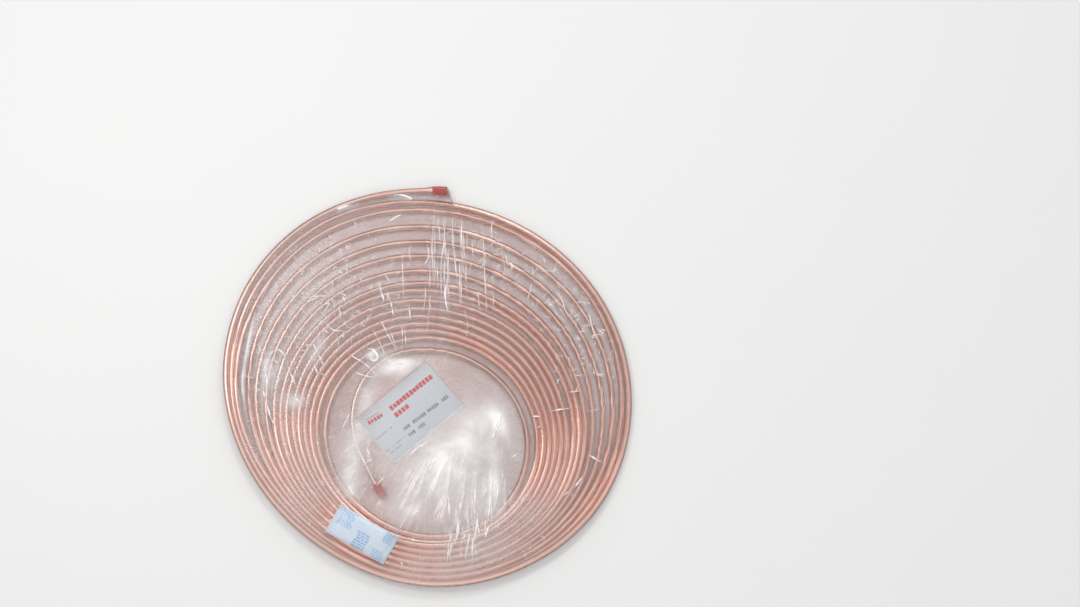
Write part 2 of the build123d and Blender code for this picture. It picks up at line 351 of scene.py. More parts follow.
def wind(step=3.0, rounds=400):
    """The tube's centre line at every few degrees: angle, radius, height. Turns that crowd ride up on each other."""
    st = list(TAIL) + [(j * 360 + a, TURNS[a][j]) for j in range(15) for a in range(0, 360, 30)] + list(OUTER_END)
    ang, rad = np.array(st, float).T
    A = np.arange(math.ceil(FIRST / step), math.floor(LAST / step) + 1) * step
    rng = np.random.RandomState(4)
    r0 = spline(ang, rad, A) * SPREAD
    wave = sum(rng.uniform(0.5, 1) * np.sin(np.radians(A) * k + rng.uniform(0, 6.28)) for k in (1.07, 1.93, 2.89, 4.13))
    turn, th = np.floor(A / 360).astype(int), A % 360
    spread = np.clip((np.abs(((th - 195) + 180) % 360 - 180) - 75) / 30, 0, 1)
    r0 = r0 + 0.13 * wave * (0.35 + 0.65 * spread)
    m, n = int(round(360 / step)), len(A)
    r, z = r0.copy(), np.full(n, LOW)
    gap = np.full(n, 99.0)
    gap[m:] = r[m:] - r[:-m]
    gap[:-m] = np.minimum(gap[:-m], r[m:] - r[:-m])
    reach = TUBE_OD + 0.06
    lean = np.cos(np.arctan(np.gradient(r0, np.radians(A)) / r0))      # turns that run inwards or outwards pass closer
    gap = gap * lean
    up = (turn >= 2) & (turn % 2 == 0) & (th >= 80) & (th <= 285)
    z[up] += np.sqrt(np.maximum(0, reach**2 - gap[up] ** 2))
    for it in range(rounds):
        r += (r0 - r) * 0.05
        z -= 0.008 * (it < rounds * 0.9)
        for k in (m, 2 * m, 3 * m):
            dr, dz = (r[k:] - r[:-k]) * lean[k:], z[k:] - z[:-k]
            d = np.hypot(dr, dz) + 1e-9
            over = np.maximum(0, reach - d) * 0.4 / d
            r[k:] += dr * over
            r[:-k] -= dr * over
            z[k:] += dz * over
            z[:-k] -= dz * over
        z = np.maximum(z, LOW)
        if it < rounds * 0.85:
            z[1:-1] += 0.125 * (z[:-2] + z[2:] - 2 * z[1:-1])
            off = r - r0
            off[1:-1] += 0.125 * (off[:-2] + off[2:] - 2 * off[1:-1])
            r = r0 + off
        z = np.maximum(z, LOW)
    for end in (0, n - 1):
        s = np.abs(np.arange(n) - end) * step
        f = np.clip(1 - (s - 12) / 18, 0, 1)
        z = np.where(s < 32, np.maximum(z, LOW + (CAP_Z - LOW) * f * f * (3 - 2 * f)), z)
    return A, r, z, m


ANG, RAD, HGT, PER_TURN = wind()
# the two cut ends lie between steps
ang_all, rad_all = np.array(TAIL + [(j * 360 + a, TURNS[a][j]) for j in range(15) for a in range(0, 360, 30)] + OUTER_END, float).T
ends = spline(ang_all, rad_all, [FIRST, LAST]) * SPREAD
ANG, RAD, HGT = np.r_[FIRST, ANG, LAST], np.r_[ends[0], RAD, ends[1]], np.r_[CAP_Z, HGT, CAP_Z]
RAD[1], RAD[-2] = np.interp(ANG[1], ANG[[0, 2]], RAD[[0, 2]]), np.interp(ANG[-2], ANG[[-3, -1]], RAD[[-3, -1]])
th = np.radians(ANG)
LINE = np.c_[CX + RAD * np.sin(th), CY + RAD * np.cos(th), HGT]


def tube_frames(line):
    t = np.gradient(line, axis=0)
    t /= np.linalg.norm(t, axis=1)[:, None]
    side = np.cross(t, (0.0, 0.0, 1.0))
    side /= np.linalg.norm(side, axis=1)[:, None]
    return t, side, np.cross(side, t)


def build_tube():
    sides = 20
    t, side, up = tube_frames(LINE)
    n = len(LINE)
    phi = np.arange(sides) / sides * 2 * math.pi
    run = np.r_[0, np.cumsum(np.linalg.norm(np.diff(LINE, axis=0), axis=1))]
    ring = side[:, None, :] * np.cos(phi)[None, :, None] + up[:, None, :] * np.sin(phi)[None, :, None]
    outer = LINE[:, None, :] + ring * R_TUBE
    inner = LINE[:, None, :] + ring * (R_TUBE - TUBE_WALL)
    verts = np.concatenate([outer.reshape(-1, 3), inner.reshape(-1, 3)])
    uv = np.stack(np.broadcast_arrays(run[:, None] / 10, phi[None, :] / (2 * math.pi)), -1).reshape(-1, 2)
    f_out = grid_faces(n, sides, wrap_cols=True, flip=False)
    f_in = grid_faces(n, sides, wrap_cols=True, flip=True, first=n * sides)
    j = np.arange(sides)
    k = (j + 1) % sides
    off = n * sides
    start = np.stack([k, j, off + j, off + k], -1)
    last = (n - 1) * sides
    stop = np.stack([last + j, last + k, off + last + k, off + last + j], -1)
    return make_mesh("tube_winding", verts, np.concatenate([f_out, f_in, start, stop]), uv=np.concatenate([uv, uv]), mats=[copper_material()])


tube = build_tube()
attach(tube, "root")
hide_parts("copper_tube")


# ------------------------------------------------------------------ end caps
def build_cap(name, tip, way, material):
    """A moulded cup: bead at the mouth, faint grip rings, domed end with the gate mark, hollow inside."""
    way = way / np.linalg.norm(way)
    side = np.cross(way, (0, 0, 1.0))
    side /= np.linalg.norm(side)
    up = np.cross(side, way)
    back = -CAP_GRIP
    front = back + CAP_LENGTH
    prof = [(back + 0.15, R_TUBE + 0.10), (back, R_TUBE + 0.55), (back + 0.05, 4.30), (back + 0.35, 4.68), (back + 0.9, 4.80), (back + 1.45, 4.70), (back + 1.85, 4.50)]
    x = back + 2.3
    while x < front - 3.6:
        prof += [(x, 4.48), (x + 0.35, 4.62), (x + 0.75, 4.62), (x + 1.10, 4.48)]
        x += 1.85
    for a in np.linspace(0, 90, 9):
        prof.append((front - 1.6 + 1.6 * math.sin(math.radians(a)), 2.95 + 1.6 * math.cos(math.radians(a))))
    prof += [(front, 1.3), (front + 0.0, 0.8), (front - 0.12, 0.6), (front - 0.12, 0.0)]
    inner = [(front - 1.9, 0.0), (front - 1.9, R_TUBE - 0.3), (front - 2.2, R_TUBE + 0.04), (back + 6.0, R_TUBE + 0.05), (back + 0.15, R_TUBE + 0.10)]
    prof = np.array(prof + inner)
    sides = 40
    phi = np.arange(sides) / sides * 2 * math.pi
    verts = tip + way * prof[:, :1][:, None, :] + prof[:, 1][:, None, None] * (side * np.cos(phi)[None, :, None] + up * np.sin(phi)[None, :, None])
    verts = verts.reshape(-1, 3)
    ob = make_mesh(name, verts, grid_faces(len(prof), sides, wrap_cols=True, flip=True), mats=[material])
    # poles and the closed mouth ring are welded
    import bmesh
    bm = bmesh.new()
    bm.from_mesh(ob.data)
    bmesh.ops.remove_doubles(bm, verts=bm.verts, dist=1e-6)
    bmesh.ops.recalc_face_normals(bm, faces=bm.faces)
    bm.to_mesh(ob.data)
    bm.free()
    sub = ob.modifiers.new("round", "SUBSURF")
    sub.levels = sub.render_levels = 1
    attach(ob, "root")
    return ob


red = cap_material()
cap_in = build_cap("cap_inner_end", LINE[0], LINE[0] - LINE[2], red)
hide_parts("end_cap_inner")
cap_out = build_cap("cap_outer_end", LINE[-1], LINE[-1] - LINE[-3], red)
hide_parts("end_cap_outer")

# ------------------------------------------------------------------ label card
CARD_W, CARD_H, CARD_R = 98.0, 65.0, 4.0
CARD_AT, CARD_TURN = (-17.0, -37.3), math.radians(40.7)


def smooth_box(x, y, x0, x1, y0, y1, soft=0.22):
    """1 inside a rectangle, 0 outside, with a soft edge."""
    fx = np.clip((x - x0) / soft + 0.5, 0, 1) * np.clip((x1 - x) / soft + 0.5, 0, 1)
    return fx * np.clip((y - y0) / soft + 0.5, 0, 1) * np.clip((y1 - y) / soft + 0.5, 0, 1)


def bars(x, y, x0, x1, y0, height, rng, word=(5.0, 12.0), gap=1.6, tooth=None, fill=0.72):
    """A row of plain blocks, such as stands for words in a layout sketch."""
    ink = np.zeros_like(x)
    at = x0
    while at < x1 - 1.5:
        long = min(rng.uniform(*word), x1 - at)
        if tooth:
            n = max(1, int(long / tooth))
            for i in range(n):
                drop = rng.choice([0.0, 0.0, 0.12, 0.2]) * height
                ink = np.maximum(ink, smooth_box(x, y, at + i * tooth, at + (i + fill) * tooth, y0 + drop * 0.5, y0 + height - drop * 0.5))
        else:
            ink = np.maximum(ink, smooth_box(x, y, at, at + long, y0, y0 + height))
        at += long + gap
    return ink


def build_card():
    step = 0.5
    nx, ny = int(CARD_W / step) + 1, int(CARD_H / step) + 1
    x = np.linspace(-CARD_W / 2, CARD_W / 2, nx)
    y = np.linspace(-CARD_H / 2, CARD_H / 2, ny)
    X, Y = np.meshgrid(x, y)
    # pull the corners in to their arcs
    ax, ay = np.abs(X) - (CARD_W / 2 - CARD_R), np.abs(Y) - (CARD_H / 2 - CARD_R)
    corner = (ax > 0) & (ay > 0)
    reach = np.maximum(ax, ay)
    dist = np.hypot(ax, ay) + 1e-9
    k = np.where(corner, reach / dist, 1.0)
    PX = np.where(corner, np.sign(X) * (CARD_W / 2 - CARD_R + ax * k), X)
    PY = np.where(corner, np.sign(Y) * (CARD_H / 2 - CARD_R + ay * k), Y)
    rng = np.random.RandomState(11)
    red_ink = np.zeros_like(PX)
    tilt = lambda deg: (PX * math.cos(math.radians(deg)) + PY * math.sin(math.radians(deg)), -PX * math.sin(math.radians(deg)) + PY * math.cos(math.radians(deg)))
    U, V = tilt(-1.0)
    red_ink = np.maximum(red_ink, bars(U, V, -13.6, 44.6, 14.2, 5.6, rng, (57.0, 58.2), 1.5, 4.4, 0.84))
    red_ink = np.maximum(red_ink, bars(U, V, -14.2, 6.4, 5.0, 5.4, rng, (20.0, 20.5), 2.0, 4.6, 0.84))
    U, V = tilt(-8.0)
    red_ink = np.maximum(red_ink, bars(U, V, -43.6, -21.4, 12.2, 4.4, rng, (22.0, 22.2), 1.5, 3.7, 0.80))
    red_ink = np.maximum(red_ink, 0.8 * smooth_box(U, V, -43.6, -28.0, 18.2, 19.3))
    grey_ink = np.zeros_like(PX)
    U, V = tilt(-2.6)
    grey_ink = np.maximum(grey_ink, 0.95 * bars(U, V, -16.0, 46.8, -12.4, 4.3, rng, (9.0, 18.0), 1.8, 2.9, 0.78))
    grey_ink = np.maximum(grey_ink, 0.95 * bars(U, V, -15.6, 10.2, -21.0, 4.3, rng, (9.0, 12.0), 1.8, 2.9, 0.78))
    grey_ink = np.maximum(grey_ink, 0.60 * bars(PX, PY, -46.0, -23.2, 0.0, 2.0, rng, (5.0, 9.0), 1.4, 1.3))
    grey_ink = np.maximum(grey_ink, 0.55 * bars(PX, PY, -45.8, -20.6, -17.4, 1.9, rng, (5.0, 9.0), 1.4, 1.3))
    grey_ink = np.maximum(grey_ink, 0.55 * bars(PX, PY, -43.6, -24.7, -21.7, 1.9, rng, (5.0, 9.0), 1.4, 1.3))
    # a slight spring in the card
    lift = 0.5 + 1.0 * (PX / 47.5) ** 2 * (0.6 + 0.4 * PY / 32) + 0.35 * np.sin(PX / 22 + 0.6) * (PY / 32) ** 2
    lift -= lift.min() - 0.47
    c, s = math.cos(CARD_TURN), math.sin(CARD_TURN)
    WX, WY = CARD_AT[0] + c * PX - s * PY, CARD_AT[1] + s * PX + c * PY
    top = np.stack([WX, WY, lift + 0.32], -1).reshape(-1, 3)
    bot = np.stack([WX, WY, lift], -1).reshape(-1, 3)
    n = nx * ny
    faces = [grid_faces(ny, nx), grid_faces(ny, nx, flip=True, first=n)]
    edge = np.concatenate([np.arange(nx), np.arange(1, ny) * nx + nx - 1, (ny - 1) * nx + np.arange(nx - 2, -1, -1), np.arange(ny - 2, 0, -1) * nx])
    nxt = np.roll(edge, -1)
    faces.append(np.stack([edge + n, nxt + n, nxt, edge], -1))
    zero = np.zeros(n)
    ob = make_mesh("card_print", np.concatenate([top, bot]), np.concatenate(faces), attrs={"ink_red": np.r_[red_ink.ravel(), zero], "ink_grey": np.r_[grey_ink.ravel(), zero]}, mats=[card_material()])
    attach(ob, "root")
    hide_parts("label_card")
    return ob


card = build_card()

# ------------------------------------------------------------------ desiccant pouch
POUCH_W, POUCH_H, POUCH_T, CRIMP = 71.0, 33.0, 4.4, 5.0
POUCH_AT, POUCH_TURN = (-62.7, -169.0), math.radians(-29.2)
POUCH_Z = LOW + math.sqrt((TUBE_OD + 0.15) ** 2 - 3.2**2) + R_TUBE + 0.3


def value_noise(x, y, cell, seed):
    """Smooth noise from -1 to 1 on a plane."""
    rng = np.random.RandomState(seed)
    table = rng.uniform(-1, 1, (64, 64))
    u, v = x / cell, y / cell
    i, j = np.floor(u).astype(int), np.floor(v).astype(int)
    f, g = u - i, v - j
    f, g = f * f * (3 - 2 * f), g * g * (3 - 2 * g)
    t = lambda a, b: table[a % 64, b % 64]
    return (t(i, j) * (1 - f) + t(i + 1, j) * f) * (1 - g) + (t(i, j + 1) * (1 - f) + t(i + 1, j + 1) * f) * g


def build_pouch():
    step = 0.45
    nx, ny = int(POUCH_W / step) + 1, int(POUCH_H / step) + 1
    X, Y = np.meshgrid(np.linspace(-POUCH_W / 2, POUCH_W / 2, nx), np.linspace(-POUCH_H / 2, POUCH_H / 2, ny))
    body = POUCH_W / 2 - CRIMP
    u = np.clip(np.abs(X) / body, 0, 1)
    v = np.clip(np.abs(Y) / (POUCH_H / 2 - 0.6), 0, 1)
    fill = (1 - u**3.2) ** 0.75 * (1 - v**2.6) ** 0.62
    beads = value_noise(X, Y, 2.6, 1) * 0.22 + value_noise(X, Y, 1.5, 2) * 0.10
    puck = value_noise(X * 0.5, Y, 3.2, 3) * np.clip((u - 0.72) / 0.2, 0, 1) * (u < 1) * 0.3
    top = 0.30 + fill * (3.3 + beads + 0.35 * value_noise(X, Y, 14, 5)) + puck * fill**0.3
    crimp = np.clip((np.abs(X) - body) / 0.5, 0, 1)
    ribs = 0.16 * np.sin(Y / 1.35 * 2 * math.pi) * crimp * np.clip((POUCH_W / 2 - np.abs(X)) / 0.8, 0, 1)
    top = top * (1 - crimp) + (0.34 + ribs) * crimp
    low = -fill * (0.35 + 0.12 * value_noise(X, Y, 5, 6)) * (1 - crimp) + ribs * crimp
    # edges pull in where the pouch is full, and the crimps tip down on the turns
    PX = X * (1 - 0.012 * fill)
    PY = Y * (1 - 0.035 * (1 - np.abs(X / (POUCH_W / 2)) ** 4))
    base = POUCH_Z + 0.35
    c, s = math.cos(POUCH_TURN), math.sin(POUCH_TURN)
    WX, WY = POUCH_AT[0] + c * PX - s * PY, POUCH_AT[1] + s * PX + c * PY
    rng = np.random.RandomState(21)
    ink = np.zeros_like(X)
    # generic rows of short blue dashes, in three groups
    for x0, x1, y0, y1, pitch, tall, word in ((-31, -12, -2.5, 15.5, 2.3, 1.35, (1.6, 4.6)), (-5.5, 12.0, -15.8, 4.5, 3.1, 2.0, (2.4, 6.0)), (21.0, 32.5, 4.0, 15.0, 2.3, 1.35, (1.6, 4.2)), (18.0, 32.0, -15.5, -6.0, 2.5, 1.45, (1.6, 4.2))):
        yy = y0
        while yy < y1 - tall:
            row = bars(X, Y, x0 + rng.uniform(0, 2), x1 - rng.uniform(0, 3), yy, tall, rng, word, 0.9)
            ink = np.maximum(ink, row * rng.uniform(0.7, 1.0))
            yy += pitch
    ink *= (1 - 0.6 * crimp)
    n = nx * ny
    tv = np.stack([WX, WY, base + top], -1).reshape(-1, 3)
    bv = np.stack([WX, WY, base + low], -1).reshape(-1, 3)
    faces = [grid_faces(ny, nx), grid_faces(ny, nx, flip=True, first=n)]
    edge = np.concatenate([np.arange(nx), np.arange(1, ny) * nx + nx - 1, (ny - 1) * nx + np.arange(nx - 2, -1, -1), np.arange(ny - 2, 0, -1) * nx])
    nxt = np.roll(edge, -1)
    faces.append(np.stack([edge + n, nxt + n, nxt, edge], -1))
    ob = make_mesh("pouch_crimped", np.concatenate([tv, bv]), np.concatenate(faces), attrs={"ink": np.r_[ink.ravel(), np.zeros(n)]}, mats=[pouch_material()])
    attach(ob, "root")
    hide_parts("desiccant_pouch")
    return ob, WX, WY, base + top


pouch, POUCH_X, POUCH_Y, POUCH_TOP = build_pouch()


# ------------------------------------------------------------------ film
N_TH, N_S = 620, 130
RHO = R_TUBE + 0.35


def ray_angles(count):
    """Directions of the film's rays, clockwise from +Y, closer together where the outline steps in past the outer cap."""
    fine = np.linspace(0, 360, 18001)
    dense = 1 + 5 * np.exp(-(((fine - 5.2 + 180) % 360 - 180) / 2.4) ** 2)
    total = np.r_[0, np.cumsum((dense[1:] + dense[:-1]) / 2)]
    return np.radians(np.interp(np.arange(count) / count, total / total[-1], fine))


Q = ray_angles(N_TH)
DQ = np.diff(np.r_[Q, Q[0] + 2 * math.pi])


def turns_at(q):
    """Radius and height of every stretch of tube that crosses the ray at angle q (radians, clockwise from +Y)."""
    a = math.degrees(q)
    k = np.arange(-1, 16) * 360 + a
    k = k[(k >= ANG[0]) & (k <= ANG[-1])]
    return np.interp(k, ANG, RAD), np.interp(k, ANG, HGT)


def cap_frame(tip, prev):
    way = (tip - prev) / np.linalg.norm(tip - prev)
    return tip + way * (CAP_LENGTH / 2 - CAP_GRIP), way


OUT_MID, OUT_WAY = cap_frame(LINE[-1], LINE[-2])
IN_MID, IN_WAY = cap_frame(LINE[0], LINE[1])


def outline():
    """Reach of the film and the height of its top at every ray: it follows the outermost turn and steps in past the cap."""
    reach, top = np.zeros(N_TH), np.zeros(N_TH)
    t = np.arange(222.0, 258.0, 0.1)
    cap_r, cap_q = [], []
    for i, q in enumerate(Q):
        rr, zz = turns_at(q)
        k = np.argmax(rr)
        reach[i], top[i] = rr[k] + RHO, zz[k] + R_TUBE + 0.30
        x, y = CX + t * math.sin(q) - OUT_MID[0], CY + t * math.cos(q) - OUT_MID[1]
        along, across = x * OUT_WAY[0] + y * OUT_WAY[1], -x * OUT_WAY[1] + y * OUT_WAY[0]
        inside = (np.abs(along) < CAP_LENGTH / 2 + 0.5) & (np.abs(across) < CAP_R + 0.35)
        if inside.any():
            cap_q.append(q)
            cap_r.append(t[inside].max())
            reach[i] = max(reach[i], cap_r[-1])
            top[i] = CAP_Z + CAP_R + 0.35
    first, last, edge = cap_q[0], cap_q[-1], cap_r[-1]
    behind = ((Q - last) % (2 * math.pi)) * 240
    before = ((first - Q) % (2 * math.pi)) * 240
    reach = np.maximum(reach, edge - 2.2 * behind)
    reach = np.maximum(reach, np.where(before < 40, cap_r[0] - 0.25 * before, 0))
    high = CAP_Z + CAP_R + 0.35
    top = np.maximum(top, np.where(behind < 40, high - 0.45 * behind, 0))
    top = np.maximum(top, np.where(before < 40, high - 0.30 * before, 0))
    k = np.array([1, 2, 3, 2, 1]) / 9
    even = lambda v: np.convolve(np.r_[v[-2:], v, v[:2]], k, "valid")
    return even(reach), even(top)


R_OUT, TOP_EDGE = outline()
R_EDGE = R_OUT - RHO
POWER = 0.94


def film_height():
    s = np.linspace(0, 1, N_S) ** POWER
    r = s[None, :] * R_EDGE[:, None]
    under = np.full((N_TH, N_S), 0.6)
    inner = np.zeros(N_TH)
    for i, q in enumerate(Q):
        rr, zz = turns_at(q)
        inner[i] = rr.min()
        d = r[i][:, None] - rr[None, :]
        e = zz[None, :] + np.sqrt(np.maximum(0, (R_TUBE + 0.30) ** 2 - d * d)) - 99.0 * (np.abs(d) >= R_TUBE + 0.30)
        under[i] = np.maximum(under[i], e.max(1))
    x, y = CX + r * np.sin(Q)[:, None], CY + r * np.cos(Q)[:, None]
    # pouch
    c, sn = math.cos(POUCH_TURN), math.sin(POUCH_TURN)
    lx, ly = (x - POUCH_AT[0]) * c + (y - POUCH_AT[1]) * sn, -(x - POUCH_AT[0]) * sn + (y - POUCH_AT[1]) * c
    inside = (np.abs(lx) < POUCH_W / 2 + 0.8) & (np.abs(ly) < POUCH_H / 2 + 0.8)
    fu, fv = np.clip(np.abs(lx) / (POUCH_W / 2 - CRIMP), 0, 1), np.clip(np.abs(ly) / (POUCH_H / 2 - 0.6), 0, 1)
    bulge = POUCH_Z + 0.35 + 0.95 + 3.4 * (1 - fu**3.2) ** 0.75 * (1 - fv**2.6) ** 0.62
    under = np.where(inside, np.maximum(under, bulge), under)
    # card
    c, sn = math.cos(CARD_TURN), math.sin(CARD_TURN)
    kx, ky = (x - CARD_AT[0]) * c + (y - CARD_AT[1]) * sn, -(x - CARD_AT[0]) * sn + (y - CARD_AT[1]) * c
    on_card = (np.abs(kx) < CARD_W / 2 + 1) & (np.abs(ky) < CARD_H / 2 + 1)
    under = np.where(on_card, np.maximum(under, 2.6), under)
    # caps
    for mid, way in ((IN_MID, IN_WAY), (OUT_MID, OUT_WAY)):
        along = (x - mid[0]) * way[0] + (y - mid[1]) * way[1]
        across = -(x - mid[0]) * way[1] + (y - mid[1]) * way[0]
        room = CAP_R + 0.35
        e = mid[2] + np.sqrt(np.maximum(0, room**2 - across**2))
        under = np.where((np.abs(along) < CAP_LENGTH / 2 + 0.6) & (np.abs(across) < room), np.maximum(under, e), under)
    # the stretched film settles on all of it: a little sag between the turns, and over the hole
    h = np.maximum(under, 8.6)
    h[:, -1] = TOP_EDGE
    dr = np.gradient(r, axis=1)
    wr = 1.0 / np.maximum(dr, 0.2) ** 2
    dp = np.maximum(r * DQ[:, None], 0.35)
    dm = np.maximum(r * np.roll(DQ, 1)[:, None], 0.35)
    wp, wm = 2.0 / ((dp + dm) * dp), 2.0 / ((dp + dm) * dm)
    pull = np.where(r < inner[:, None] - 4, 0.0010, 0.0130)
    rounds = 2400
    for _ in range(rounds):
        before, after = np.roll(h, 1, 0), np.roll(h, -1, 0)
        lf, rt = np.empty_like(h), np.empty_like(h)
        lf[:, 1:], rt[:, :-1] = h[:, :-1], h[:, 1:]
        lf[:, 0] = h[:, 1].mean()
        rt[:, -1] = h[:, -1]
        new = (wr * (lf + rt) + wp * after + wm * before - 2 * pull) / (2 * wr + wp + wm)
        new = np.maximum(new, under)
        new[:, -1] = TOP_EDGE
        new[:, 0] = new[:, 1].mean()
        h = new
    return r, x, y, h, under


FILM_R, FILM_X, FILM_Y, FILM_H, FILM_UNDER = film_height()
INNER = np.array([turns_at(q)[0].min() for q in Q])
SLACK = np.clip((FILM_H - FILM_UNDER) / 0.9, 0, 1)      # where the film is off what is under it


def film_at(px, py, field):
    """A field of the film, such as its height, at points of the plan (mm), read between the grid's points."""
    dx, dy = px - CX, py - CY
    rr, qq = np.hypot(dx, dy), np.arctan2(dx, dy) % (2 * math.pi)
    f = np.interp(qq, np.r_[Q, 2 * math.pi], np.arange(N_TH + 1))
    i = np.floor(f).astype(int) % N_TH
    j = (i + 1) % N_TH
    f = f - np.floor(f)
    edge = R_EDGE[i] * (1 - f) + R_EDGE[j] * f
    s = np.clip(rr / edge, 0, 1) ** (1 / POWER) * (N_S - 1)
    a = np.clip(np.floor(s).astype(int), 0, N_S - 2)
    g = s - a
    lo = field[i, a] * (1 - g) + field[i, a + 1] * g
    hi = field[j, a] * (1 - g) + field[j, a + 1] * g
    return lo * (1 - f) + hi * f


def blob(x, y, px, py, rx, ry=None, turn=0.0):
    """A soft patch, given by its place and radii in the picture."""
    c = on_level(px, py, 8.0)
    ry = ry or rx
    a = math.radians(turn)
    dx, dy = x - c[0], y - c[1]
    u, v = (dx * math.cos(a) + dy * math.sin(a)) / (rx * 1.093), (-dx * math.sin(a) + dy * math.cos(a)) / (ry * 1.12)
    return np.exp(-(u * u + v * v))


def pressed(x, y, h):
    """Raises the film along every fold, and puckers it where it spans a gap."""
    slack = 0.25 + 0.75 * SLACK
    q = np.broadcast_to(Q[:, None], h.shape)
    puck = value_noise(q * 150.0, FILM_R * 0.16, 3.2, 8) * 0.6 + value_noise(q * 150.0, FILM_R * 0.3, 1.9, 9) * 0.4
    spider = value_noise(x, y, 7.0, 12) * 0.5 + value_noise(x + y, x - y, 3.5, 13) * 0.3
    hole = np.clip((turns_inner(x, y) - 2 - np.hypot(x - CX, y - CY)) / 10, 0, 1)
    add = SLACK * (0.42 * puck + 0.34 * spider) * (1 - 0.65 * hole)
    for line, half, milk_glint_amount, drawn in FOLD_LINES:
        lo, hi = line.min(0) - 7, line.max(0) + 7
        near = (x > lo[0]) & (x < hi[0]) & (y > lo[1]) & (y < hi[1])
        if not near.any():
            continue
        px, py = x[near], y[near]
        best = np.full(px.shape, 1e9)
        along = np.zeros(px.shape)
        n = len(line) - 1
        for k in range(n):
            a0, d = line[k], line[k + 1] - line[k]
            t = np.clip(((px - a0[0]) * d[0] + (py - a0[1]) * d[1]) / (d @ d + 1e-9), 0, 1)
            e = np.hypot(px - a0[0] - t * d[0], py - a0[1] - t * d[1])
            along = np.where(e < best, (k + t) / n, along)
            best = np.minimum(best, e)
        wide = 1.25 + 1.1 * half
        ridge = np.exp(-((best / wide) ** 2)) * np.sin(np.clip(along, 0.04, 0.96) * math.pi) ** 0.5
        add[near] += ridge * (0.30 + 0.75 * half * milk_glint_amount) * slack[near]
    h = np.maximum(h + add, FILM_UNDER)
    for k in range(9):
        w = (k / 9) ** 2
        h[:, k] = h[:, k] * w + h[:, k].mean() * (1 - w)
    h[:, -1] = TOP_EDGE
    return h


def turns_inner(x, y):
    """Radius of the innermost turn in the direction of a point."""
    return np.interp(np.arctan2(x - CX, y - CY) % (2 * math.pi), np.r_[Q, 2 * math.pi], np.r_[INNER, INNER[0]])


def milk_and_glints_by_place(x, y):
    """How milky the film is, by place, with painted glints added as small bright spots."""
    haze = 0.055 + 0.022 * value_noise(x, y, 38, 14)
    hole = np.clip((turns_inner(x, y) - np.hypot(x - CX, y - CY)) / 14, 0, 1)
    haze = haze + 0.15 * hole * (1 + 0.40 * value_noise(x, y, 21, 15))
    # the listed spots add milky patches and painted glints
    for px, py, rx, ry, turn, much in MILK_PATCHES_AND_GLINTS:
        haze = haze + much * blob(x, y, px, py, rx, ry, turn)
    haze = haze * (1 - 0.85 * np.clip(blob(x, y, 361, 535, 36, 19, -29) * 2.0, 0, 1))
    for px, py, rr, much in ((440, 191.5, 13, 0.85), (380.5, 491, 14, 0.45)):
        haze = haze * (1 - much * blob(x, y, px, py, rr))
    c, sn = math.cos(CARD_TURN), math.sin(CARD_TURN)
    kx, ky = (x - CARD_AT[0]) * c + (y - CARD_AT[1]) * sn, -(x - CARD_AT[0]) * sn + (y - CARD_AT[1]) * c
    clear_card = np.clip((CARD_W / 2 + 1 - np.abs(kx)) / 4, 0, 1) * np.clip((CARD_H / 2 + 1 - np.abs(ky)) / 4, 0, 1)
    haze = haze * (1 - 0.80 * clear_card)
    haze = np.clip(haze, 0.012, 0.88)
    for k in range(9):
        haze[:, k] = haze[:, k] * (k / 9) ** 2 + haze[:, k].mean() * (1 - (k / 9) ** 2)
    return haze


